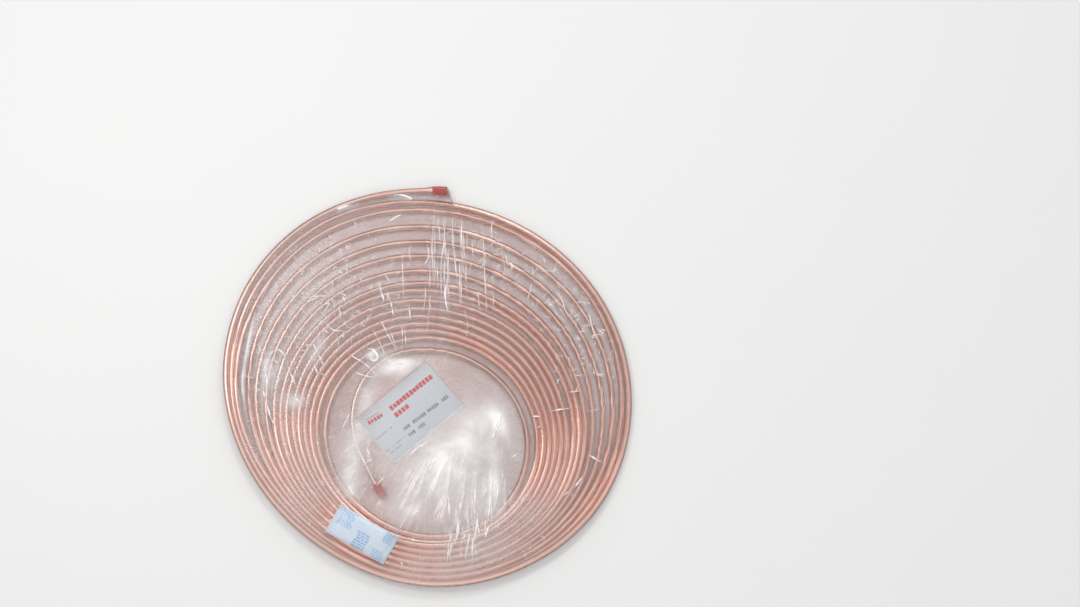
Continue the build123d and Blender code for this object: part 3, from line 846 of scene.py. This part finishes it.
def build_film(material):
    x, y, h = FILM_X, FILM_Y, FILM_TOP
    q = np.broadcast_to(Q[:, None], h.shape)
    rings = [np.stack([x, y, h], -1)]
    tone = [milk_and_glints_by_place(x, y)]
    over_hole = np.clip((turns_inner(x, y) - 2 - np.hypot(x - CX, y - CY)) / 10, 0, 1)
    over_pouch = np.clip(blob(x, y, 361, 535, 36, 19, -29) * 2.0, 0, 1)
    taut = np.clip((-80 - y) / 60, 0, 1)                     # the wrap is smooth over the stacked turns
    loose = [SLACK * (1 - 0.82 * over_hole) * (1 - 0.9 * over_pouch) * (1 - 0.60 * taut)]
    calm = [over_pouch * 0.95]
    blush = [np.zeros_like(x)]
    pol = [np.stack([60 * np.sin(q), 60 * np.cos(q), FILM_R * 0.085], -1)]
    # round the rim and back under
    mid, half = TOP_EDGE / 2 + 0.02, TOP_EDGE / 2 - 0.02
    sq, cq = np.sin(Q), np.cos(Q)
    for a in (70, 50, 30, 10, -10, -30, -50, -70, -90):
        ca, sa = math.cos(math.radians(a)), math.sin(math.radians(a))
        rr = R_EDGE + RHO * max(ca, 0.0) ** 0.72
        rings.append(np.stack([CX + rr * sq, CY + rr * cq, mid + half * sa], -1)[:, None])
        tone.append(np.full((N_TH, 1), 0.05))
        loose.append(np.full((N_TH, 1), 0.2))
        calm.append(np.zeros((N_TH, 1)))
        # painted reflected copper light: a light pink tint on the rim
        blush.append(np.full((N_TH, 1), 0.15))
        pol.append(np.stack([60 * sq, 60 * cq, rr * 0.085 - a * 0.02], -1)[:, None])
    for f in (0.94, 0.85, 0.72, 0.55, 0.36, 0.18, 0.0):
        rr = R_EDGE * f
        X, Y = CX + rr * sq, CY + rr * cq
        z = 0.04 + (0.05 + 0.05 * value_noise(X, Y, 9, 16)) * (f < 0.9)
        rings.append(np.stack([X, Y, z if f else np.full(N_TH, z.mean())], -1)[:, None])
        tone.append(np.full((N_TH, 1), 0.04))
        loose.append(np.full((N_TH, 1), 0.3))
        calm.append(np.zeros((N_TH, 1)))
        # painted reflected copper light: the bottom sheet is tinted pink, most under the middle of the coil
        blush.append((0.30 + 0.70 * np.clip(blob(X, Y, 360, 400, 190, 240), 0, 1))[:, None])
        pol.append(np.stack([60 * sq, 60 * cq, rr * 0.085 + 9], -1)[:, None])
    grid = np.concatenate(rings, 1)
    rows, cols = grid.shape[:2]
    verts = grid.reshape(-1, 3)
    faces = grid_faces(rows, cols)
    wrap = grid_faces(2, cols)
    wrap = np.where(wrap >= cols, wrap - cols, wrap + (rows - 1) * cols)
    ob = make_mesh("film_bag", verts, np.concatenate([faces, wrap]), attrs={"haze": np.concatenate(tone, 1).ravel(), "slack": np.concatenate(loose, 1).ravel(), "calm": np.concatenate(calm, 1).ravel(), "blush": np.concatenate(blush, 1).ravel(), "polar": np.concatenate(pol, 1).reshape(-1, 3)}, mats=[material])
    import bmesh
    bm = bmesh.new()
    bm.from_mesh(ob.data)
    bmesh.ops.remove_doubles(bm, verts=bm.verts, dist=1e-6)
    bmesh.ops.recalc_face_normals(bm, faces=bm.faces)
    bm.to_mesh(ob.data)
    bm.free()
    return ob


# Milky places and painted glints (small bright spots where light catches the film): where in the picture, radii in
# picture pixels, turn, how much
MILK_PATCHES_AND_GLINTS = [
    (455, 448, 40, 30, 0, 0.36), (480, 424, 28, 18, 35, 0.29), (425, 474, 36, 20, 35, 0.26), (468, 496, 38, 30, 0, 0.20), (405, 508, 32, 18, 0, 0.15),
    (395, 368, 22, 7, 8, 0.25), (371, 354, 4.4, 3.2, 30, 0.40), (404, 363, 12, 4, 4, 0.35), (386, 362, 22, 11, -24, 0.26), (366, 398, 12, 22, 0, 0.14), (356, 440, 11, 40, -12, 0.30), (362, 470, 14, 16, 0, 0.22), (266, 372, 5, 16, 0, 0.30), (296, 402, 7, 6, 0, 0.30), (316, 352, 5, 16, -20, 0.25), (352, 488, 7, 14, 10, 0.25), (412, 512, 10, 6, 0, 0.20), (495, 480, 6, 34, 2, 0.28), (500, 424, 6, 16, 28, 0.45), (445, 290, 10, 55, 0, 0.07), (275, 372, 12, 26, 0, 0.12), (345, 440, 18, 46, 0, 0.10),
    (530, 515, 46, 20, 40, 0.10), (472, 548, 28, 20, 0, 0.14), (540, 525, 60, 26, -38, 0.06), (555, 290, 18, 52, 35, 0.04), (310, 335, 34, 44, -30, 0.06), (343, 207, 10, 4, 10, 0.30), (402, 197, 12, 4, -4, 0.20),
    (290, 400, 16, 10, 0, 0.10), (310, 470, 20, 50, -30, 0.05), (420, 335, 40, 18, 0, 0.05), (400, 320, 26, 30, 20, 0.05),
    # broad faint patches that make the film lighter on the left and over the bottom turns
    (268, 400, 60, 130, 0, 0.110), (315, 275, 80, 75, 0, 0.120), (430, 570, 90, 26, 0, 0.150), (330, 520, 60, 50, 0, 0.130), (430, 290, 90, 40, 0, 0.030),
]

# Folds pressed into the film: points in the picture, half width in mm, how milky (the ribbons' tone is partly the
# fold's own whitening and partly a painted glint)
FOLDS = [
    ([(257.6, 305.9), (250.9, 330.0), (244.2, 367.5), (242.9, 389.0), (245.5, 413.0)], 1.7, 0.45),
    ([(379.2, 280.3), (380.8, 291), (383.4, 299.3), (381.3, 304.2)], 1.0, 0.9),
    ([(384.1, 292.3), (389.7, 299.3), (392.5, 310.5), (393.4, 316.0)], 0.8, 0.8),
    ([(378.5, 314.7), (386.0, 331.0), (397.4, 351.9)], 0.5, 0.6),
    ([(370.8, 327.3), (379.0, 341.0), (385.5, 356.8)], 0.55, 0.65),
    ([(389.0, 327.3), (393.5, 340.0), (397.4, 352.6)], 0.5, 0.6),
    ([(401.6, 320.3), (402.3, 334.0), (402.3, 348.4)], 0.5, 0.7),
    ([(403.7, 320.3), (405.2, 334.0), (405.8, 347.0)], 0.45, 0.6),
    ([(366.5, 350.0), (371.0, 348.8), (375.0, 352.0), (377.5, 358.0), (373.0, 360.4), (369.0, 356.0)], 1.5, 0.95),
    ([(379.2, 359.6), (392.0, 360.6), (404.0, 362.6), (414.3, 362.4)], 1.2, 0.95),
    ([(383.5, 362.6), (396.0, 364.0), (408.0, 365.6)], 0.8, 0.7),
    ([(344.8, 350.5), (356.0, 358.3), (367.0, 365.4), (377.8, 376.5)], 0.8, 0.9),
    ([(352.0, 371.0), (364.0, 375.2), (376.0, 377.5)], 0.5, 0.6),
    ([(310.4, 340.0), (316.0, 349.0), (320.5, 358.5), (323.8, 366.6)], 1.0, 1.0),
    ([(313.2, 362.4), (315.8, 369.0), (318.1, 375.0)], 0.9, 0.9),
    ([(269.0, 361.0), (271.1, 354.0), (276.7, 349.8), (282.4, 352.6), (285.2, 356.8), (283.0, 351.0)], 1.0, 0.95),
    ([(266.5, 360.4), (265.0, 370.0), (266.8, 379.0), (265.5, 388.7)], 1.5, 1.0),
    ([(276.0, 374.5), (278.5, 380.0), (275.2, 386.0), (276.7, 391.0)], 1.1, 0.9),
    ([(285.2, 358.2), (289.0, 369.0), (293.6, 380.7), (296.4, 388.7)], 0.7, 0.8),
    ([(324.5, 321.7), (329.0, 326.6), (334.3, 330.2), (341.0, 331.0), (345.5, 333.0)], 0.7, 0.8),
    ([(297.8, 296.5), (307.0, 296.9), (316.0, 296.0), (327.0, 295.6), (337.0, 295.0)], 0.4, 0.5),
    ([(304.8, 303.5), (313.0, 299.0), (321.7, 295.0)], 0.45, 0.55),
    ([(318.0, 309.5), (324.0, 305.0), (329.0, 303.2), (326.0, 309.0), (320.0, 313.0)], 0.6, 0.7),
    ([(387.6, 222.1), (395.0, 217.0), (403.0, 213.7)], 0.8, 0.9),
    ([(393.2, 194.9), (402.0, 195.4), (411.5, 198.2), (405.0, 199.0)], 1.0, 0.85),
    ([(335.7, 209.6), (342.0, 207.4), (349.7, 205.3)], 1.6, 0.85),
    ([(401.6, 247.4), (402.4, 262.0), (403.0, 284.0), (404.0, 306.0)], 0.35, 0.5),
    ([(408.7, 306.3), (409.8, 314.0), (410.0, 321.7)], 0.7, 0.8),
    ([(412.0, 243.0), (409.0, 252.0), (411.5, 262.0)], 0.5, 0.6),
    ([(427.0, 244.5), (428.4, 255.8), (424.2, 264.2)], 0.8, 0.85),
    ([(448.0, 275.4), (445.3, 290.0), (445.9, 302.0), (448.4, 314.7)], 1.1, 0.85),
    ([(453.6, 212.0), (452.3, 234.0), (455.0, 262.0), (457.9, 289.5)], 0.4, 0.65),
    ([(462.1, 215.0), (461.6, 236.0), (463.5, 258.6)], 0.45, 0.7),
    ([(459.3, 258.6), (459.8, 276.0), (459.0, 292.3)], 0.4, 0.6),
    ([(436.0, 205.0), (433.2, 226.0), (432.0, 252.0), (434.0, 300.0)], 0.35, 0.5),
    ([(443.0, 215.0), (444.0, 240.0), (441.0, 268.0), (442.0, 330.0)], 0.4, 0.55),
    ([(471.9, 238.9), (473.3, 258.6)], 0.4, 0.6),
    ([(483.8, 241.7), (484.5, 270.0), (486.7, 313.3)], 0.4, 0.55),
    ([(504.2, 247.4), (507.0, 262.0), (509.8, 278.2)], 0.45, 0.65),
    ([(512.6, 253.0), (510.5, 278.2)], 0.35, 0.5),
    ([(532.3, 267.0), (533.7, 281.0)], 0.4, 0.6),
    ([(532.3, 281.0), (529.5, 292.0), (526.6, 303.5)], 0.4, 0.6),
    ([(543.5, 255.8), (545.0, 264.0)], 0.4, 0.6),
    ([(436.8, 237.5), (445.0, 233.5), (452.3, 230.5)], 0.45, 0.5),
    ([(547.7, 302.0), (552.0, 306.3), (557.5, 314.7), (566.0, 322.0)], 0.5, 0.6),
    ([(555.0, 290.0), (562.0, 300.0), (566.0, 312.0), (572.0, 320.0)], 0.4, 0.55),
    ([(586.0, 310.0), (590.0, 318.0), (593.0, 330.0), (597.0, 342.0)], 0.6, 0.65),
    ([(581.4, 326.0), (592.6, 324.5)], 0.5, 0.6),
    ([(592.6, 365.2), (595.0, 376.0)], 0.5, 0.6),
    ([(574.0, 398.0), (577.0, 388.0), (582.0, 382.0)], 0.35, 0.5),
    ([(265.7, 398.2), (268.5, 410.6), (272.6, 421.5), (278.0, 428.4)], 1.1, 0.95),
    ([(293.2, 398.2), (298.0, 400.6), (301.4, 405.0)], 1.4, 1.0),
    ([(263.0, 390.0), (265.0, 398.2)], 1.0, 0.8),
    ([(350.7, 410.6), (346.0, 420.0), (341.0, 429.8)], 0.7, 0.7),
    ([(372.0, 440.0), (367.5, 449.0), (369.4, 456.0), (364.6, 463.7)], 0.9, 0.9),
    ([(362.0, 466.5), (368.0, 462.0), (373.5, 459.0)], 0.8, 0.85),
    ([(386.4, 475.0), (381.5, 480.2), (376.8, 486.0)], 0.5, 0.7),
    ([(353.5, 472.3), (350.0, 479.0), (349.4, 486.0), (353.5, 494.2), (360.0, 500.0)], 1.1, 0.85),
    ([(407.0, 458.6), (414.0, 451.0), (422.0, 446.0), (429.0, 441.6)], 1.6, 0.9),
    ([(420.7, 472.3), (415.0, 483.0), (409.7, 494.2)], 1.1, 0.85),
    ([(429.0, 465.0), (424.0, 474.0), (421.0, 486.0), (417.0, 497.0)], 1.0, 0.8),
    ([(412.5, 517.5), (416.0, 513.0), (420.7, 509.3)], 1.2, 0.9),
    ([(435.5, 460.2), (431.0, 468.0), (428.4, 474.2)], 1.3, 0.9),
    ([(446.7, 460.2), (439.0, 476.0), (433.0, 492.0), (428.4, 510.7)], 1.0, 0.8),
    ([(452.0, 470.0), (447.0, 490.0), (441.0, 508.0), (436.0, 524.0)], 0.9, 0.75),
    ([(466.3, 488.2), (461.0, 504.0), (459.3, 516.3)], 1.1, 0.85),
    ([(476.0, 474.2), (475.4, 492.0), (474.7, 508.0), (474.0, 525.0)], 1.1, 0.8),
    ([(448.0, 488.2), (449.0, 505.0), (449.5, 521.9)], 1.0, 0.75),
    ([(461.0, 520.0), (458.6, 526.0), (457.9, 531.7), (454.0, 540.0)], 1.0, 0.9),
    ([(492.9, 468.5), (491.0, 484.0), (490.1, 502.2), (487.4, 524.7)], 1.5, 0.95),
    ([(497.2, 477.0), (497.8, 488.0), (496.0, 502.2), (492.0, 516.0)], 1.0, 0.85),
    ([(490.2, 524.7), (487.0, 532.0), (486.0, 539.0)], 1.0, 0.8),
    ([(502.8, 411.0), (501.0, 418.0), (498.6, 425.0), (494.0, 434.0), (490.2, 441.9)], 1.7, 1.0),
    ([(505.5, 416.0), (503.0, 424.0), (499.0, 433.0)], 0.9, 0.8),
    ([(549.0, 411.0), (560.0, 409.4), (572.2, 408.2)], 0.9, 1.0),
    ([(532.3, 416.7), (536.5, 416.2), (540.7, 417.4)], 0.9, 0.95),
    ([(537.0, 427.0), (540.7, 426.4)], 0.6, 0.8),
    ([(587.0, 454.5), (591.0, 456.0), (595.4, 458.8), (603.0, 463.0)], 0.9, 0.95),
    ([(574.3, 488.2), (578.0, 483.0), (582.8, 477.0)], 1.0, 0.9),
    ([(560.0, 500.0), (566.0, 494.0), (570.0, 491.0)], 0.6, 0.6),
    ([(511.0, 457.4), (519.0, 453.2)], 0.5, 0.55),
    ([(517.0, 505.0), (524.0, 498.0), (530.0, 489.0)], 0.8, 0.5),
    ([(401.0, 562.0), (404.0, 568.0)], 0.7, 0.7),
    ([(452.0, 545.0), (450.0, 555.0), (452.0, 566.0)], 0.6, 0.6),
    ([(462.0, 546.0), (461.0, 560.0)], 0.6, 0.6),
    ([(300.0, 470.0), (309.0, 487.0), (321.0, 500.0)], 0.4, 0.4),
    ([(285.0, 440.0), (288.0, 452.0), (294.0, 462.0)], 0.4, 0.4),
]


def extra_folds():
    """Fine pressed lines: long ones near twelve o'clock, short ones over the turns, and a fan of pleats in the lower hole."""
    rng = np.random.RandomState(31)
    out = []
    for _ in range(60):
        x0 = rng.normal(450, 20)
        y0 = rng.uniform(200, 320)
        n = rng.randint(2, 5)
        long = rng.uniform(18, 74)
        lean = (x0 - 428) / 900 + rng.normal(0, 0.04)
        pts = [(x0 + lean * long * t + rng.normal(0, 0.5), y0 + long * t) for t in np.linspace(0, 1, n + 1)]
        if y0 + long < 342:
            out.append((pts, rng.uniform(0.18, 0.42), rng.uniform(0.30, 0.70)))
    for lo, hi, r0, r1, count, turn, spread, small, large in ((15, 95, 140, 190, 44, 0.0, 0.35, 4, 18), (18, 80, 128, 192, 130, 0.9, 0.9, 2, 8), (265, 345, 95, 190, 70, 0.5, 0.5, 4, 13), (270, 350, 100, 190, 90, 0.2, 1.3, 2, 7), (95, 300, 125, 185, 44, 0.0, 0.5, 3, 9)):
        for _ in range(count):
            a = math.radians(rng.uniform(lo, hi))
            r = rng.uniform(r0, r1)
            cx, cy = 428 + r * math.sin(a), 405 - r * math.cos(a)
            b = a + rng.normal(turn, spread)
            long = rng.uniform(small, large)
            pts = [(cx + math.sin(b) * long * t + rng.normal(0, 0.9), cy - math.cos(b) * long * t + rng.normal(0, 0.9)) for t in np.linspace(0, 1, 4)]
            out.append((pts, rng.uniform(0.2, 0.5), rng.uniform(0.25, 0.65)))
    for _ in range(26):
        x0, y0 = rng.uniform(446, 499), rng.uniform(508, 545)
        long = rng.uniform(10, 30)
        lean = -0.16 + 0.003 * (x0 - 446) + rng.normal(0, 0.06)
        pts = [(x0 + lean * long * t + rng.normal(0, 0.4), y0 + long * t) for t in np.linspace(0, 1, 4)]
        if y0 + long < 572:
            out.append((pts, rng.uniform(0.3, 0.8), rng.uniform(0.30, 0.75)))
    for _ in range(46):
        x0, y0 = rng.uniform(408, 506), rng.uniform(440, 505)
        long = rng.uniform(12, 44)
        lean = -0.0088 * max(484 - x0, 0) - 0.03 + rng.normal(0, 0.05)
        pts = [(x0 + lean * long * t + rng.normal(0, 0.5), y0 + long * t + rng.normal(0, 0.4)) for t in np.linspace(0, 1, 4)]
        if y0 + long < 545:
            out.append((pts, rng.uniform(0.3, 1.1), rng.uniform(0.22, 0.60)))
    return out


def fold_lines():
    """Every fold as a line of points in the plan."""
    out = []
    for drawn, (pts, half, milk_glint_amount) in [(1, f) for f in FOLDS] + [(0, f) for f in extra_folds()]:
        pts = np.array(pts, float)
        n = len(pts)
        t = np.linspace(0, n - 1, max(8, int(np.linalg.norm(np.diff(pts, axis=0), axis=1).sum() / 1.3) + 2))
        if n > 2:
            px, py = spline(np.arange(n), pts[:, 0], t), spline(np.arange(n), pts[:, 1], t)
        else:
            px, py = np.interp(t, np.arange(n), pts[:, 0]), np.interp(t, np.arange(n), pts[:, 1])
        w = np.array([on_level(a, b, 8.0)[:2] for a, b in zip(px, py)])
        edge = np.interp(np.arctan2(w[:, 0] - CX, w[:, 1] - CY) % (2 * math.pi), np.r_[Q, 2 * math.pi], np.r_[R_EDGE, R_EDGE[0]])
        if (np.hypot(w[:, 0] - CX, w[:, 1] - CY) < edge - 1.5).all():
            out.append((w, half, milk_glint_amount, drawn))
    return out


FOLD_LINES = fold_lines()
FILM_TOP = pressed(FILM_X, FILM_Y, FILM_H)


def build_folds(material):
    rng = np.random.RandomState(51)
    V, F, T, P = [], [], [], []
    base = 0
    prof = [(-1.0, 0.0), (-0.5, 0.5), (0.0, 0.8), (0.5, 0.5), (1.0, 0.0)]
    for w, half, milk_glint_amount, drawn in FOLD_LINES:
        half = max(half * 1.35, 0.80) if drawn else 0.30 + half
        milk_glint_amount = min(milk_glint_amount * (1.3 if drawn else 1.35), 1.0)
        d = np.gradient(w, axis=0)
        d /= np.linalg.norm(d, axis=1)[:, None] + 1e-9
        nrm = np.stack([-d[:, 1], d[:, 0]], -1)
        m = len(w)
        u = np.linspace(0, 1, m)
        taper = np.sin(np.clip(u, 0.02, 0.98) * math.pi) ** 0.6 * (0.7 + 0.3 * value_noise(u * 40 + rng.uniform(0, 60), u * 0 + 3.3, 4.0, 61))
        width = half * taper
        rows = []
        for a, b in prof:
            xy = w + nrm * (a * width)[:, None]
            z = film_at(xy[:, 0], xy[:, 1], FILM_TOP) + 0.05 + b * width * 0.6
            rows.append(np.c_[xy, z])
        V.append(np.stack(rows, 1).reshape(-1, 3))
        F.append(grid_faces(m, len(prof), first=base))
        # the ribbon's tone is partly the fold's own whitening and partly a painted glint, lightest along its crest
        edge = np.array([0.25, 0.9, 1.0, 0.9, 0.25])
        T.append((milk_glint_amount * edge[None, :] * np.clip(taper * 1.3, 0.15, 1)[:, None]).ravel())
        q = np.arctan2(w[:, 0] - CX, w[:, 1] - CY)
        P.append(np.repeat(np.stack([60 * np.sin(q), 60 * np.cos(q), np.hypot(w[:, 0] - CX, w[:, 1] - CY) * 0.085], -1), len(prof), 0))
        base += m * len(prof)
    tone = np.concatenate(T) * 0.96
    return make_mesh("film_folds", np.concatenate(V), np.concatenate(F), attrs={"haze": tone, "slack": tone * 0 + 0.5, "calm": tone * 0, "blush": tone * 0, "polar": np.concatenate(P)}, mats=[material])


film = build_film(film_material("stretched_film", False))
folds = build_folds(film_material("film_fold_lines", True))
for ob in (film, folds):
    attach(ob, "root")
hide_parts("film_wrap")


# ------------------------------------------------------------------ floor and light
def floor_material():
    m = Nodes("studio_floor")
    obj = m.node("TexCoord").outputs["Object"]
    n = m.noise(obj, 6.0, 2.0, 0.5)
    p = m.node("BsdfPrincipled")
    m.plug(p.inputs["Base Color"], m.mix(n, (0.845, 0.847, 0.850), (0.858, 0.859, 0.860)))
    p.inputs["Roughness"].default_value = 0.75
    return m.done(p.outputs[0])


floor = make_mesh("studio_floor", [(-4000, -4000, 0), (4000, -4000, 0), (4000, 4000, 0), (-4000, 4000, 0)], [(0, 1, 2, 3)], smooth=False, mats=[floor_material()])

world = bpy.data.worlds.new("studio")
bpy.context.scene.world = world
world.use_nodes = True
wt = world.node_tree
bg = wt.nodes["Background"]
coord, split = wt.nodes.new("ShaderNodeTexCoord"), wt.nodes.new("ShaderNodeSeparateXYZ")
ramp = wt.nodes.new("ShaderNodeValToRGB")
wt.links.new(coord.outputs["Generated"], split.inputs[0])
# the sky is a little brighter to the front and back than to the sides
square, high = wt.nodes.new("ShaderNodeMath"), wt.nodes.new("ShaderNodeMath")
square.operation, high.operation = "MULTIPLY", "MULTIPLY_ADD"
wt.links.new(split.outputs["Y"], square.inputs[0])
wt.links.new(split.outputs["Y"], square.inputs[1])
wt.links.new(square.outputs[0], high.inputs[0])
high.inputs[1].default_value = 0.75
wt.links.new(split.outputs["Z"], high.inputs[2])
wt.links.new(high.outputs[0], ramp.inputs[0])
wt.links.new(ramp.outputs[0], bg.inputs[0])
ramp.color_ramp.elements[0].position, ramp.color_ramp.elements[0].color = 0.0, (0.56, 0.565, 0.58, 1)
ramp.color_ramp.elements[1].position, ramp.color_ramp.elements[1].color = 0.95, (0.98, 0.98, 0.97, 1)
bg.inputs[1].default_value = 0.80


def area(name, place, aim, size, radiance, colour=(1, 1, 1)):
    d = bpy.data.lights.new(name, "AREA")
    d.shape, d.size, d.size_y = "RECTANGLE", size[0], size[1]
    d.energy, d.color = radiance * math.pi * size[0] * size[1], colour
    o = bpy.data.objects.new(name, d)
    bpy.context.scene.collection.objects.link(o)
    o.location = place
    o.rotation_mode = "QUATERNION"
    o.rotation_quaternion = (Vector(aim) - Vector(place)).to_track_quat("-Z", "Y")
    return o


area("key", (-0.56, 0.36, 1.05), (-0.08, 0.0, 0.0), (0.22, 0.22), 14.5, (1.0, 0.985, 0.965))
area("back", (0.35, 1.55, 1.65), (0.0, 0.0, 0.0), (0.50, 0.26), 13.0, (0.98, 0.99, 1.0))
area("rear_panel", (0.05, 1.45, 1.55), (0.0, 0.0, 0.0), (1.40, 0.75), 0.80, (1.0, 0.995, 0.985))
area("front_panel", (0.05, -1.45, 1.45), (0.0, 0.0, 0.0), (1.40, 0.75), 0.70, (1.0, 0.995, 0.985))
area("side", (1.55, -0.10, 1.60), (0.0, 0.0, 0.0), (0.26, 0.40), 3.0, (0.97, 0.985, 1.0))
bpy.context.scene.view_settings.view_transform = "Standard"
